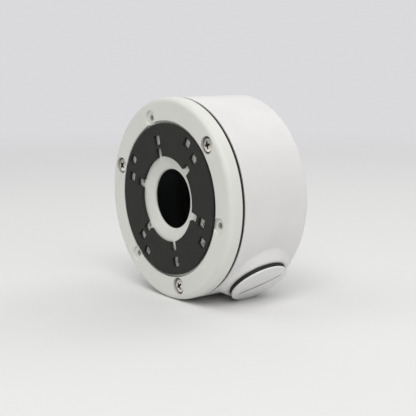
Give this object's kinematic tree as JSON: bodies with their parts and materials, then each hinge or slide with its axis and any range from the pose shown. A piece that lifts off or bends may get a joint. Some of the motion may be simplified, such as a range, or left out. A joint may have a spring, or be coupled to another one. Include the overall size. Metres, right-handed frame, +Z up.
{
  "type": "round surface junction box",
  "caption": "Round cast surface box with a screwed cover plate, central cable bore, dark fixing pad and a slotted plug closing its side conduit entry.",
  "frame": {"origin": "centre of the flat wall face", "axes": "+Y out of the wall face, -Y towards the camera that the cover carries, +Z up with the box lying on its round side and the rim of its plug"},
  "size_m": [0.1, 0.0485, 0.1],
  "materials": {
    "coat": "fine white powder coat on cast aluminium",
    "plug_coat": "white coat, slightly greyer on the plug",
    "rubber": "black moulded rubber",
    "pad_rubber": "dark grey foamed rubber, matt",
    "steel": "stainless steel"
  },
  "bodies": {
    "junction_box": {"back_box": "coat", "front_cover": "coat", "cover_gasket": "rubber", "mounting_pad": "pad_rubber", "cover_screw_1": "steel", "cover_screw_2": "steel", "cover_screw_3": "steel"},
    "seal": {"plug_seal": "rubber"},
    "plug": {"conduit_plug": "plug_coat"}
  },
  "joints": [
    {"name": "plug_travel", "type": "slide", "parent": "junction_box", "child": "seal", "axis": [0.6744, 0, -0.7384], "range_m": [0, 0.0075]},
    {"name": "plug_turn", "type": "hinge", "parent": "seal", "child": "plug", "pos_m": [0.03467, -0.0189, -0.03795], "axis": [0.6744, 0, -0.7384], "range_deg": [0, 1800]}
  ],
  "couplings": [
    {"joint": "plug_turn", "follows": "plug_travel", "rad_per_m": 4188.8}
  ]
}
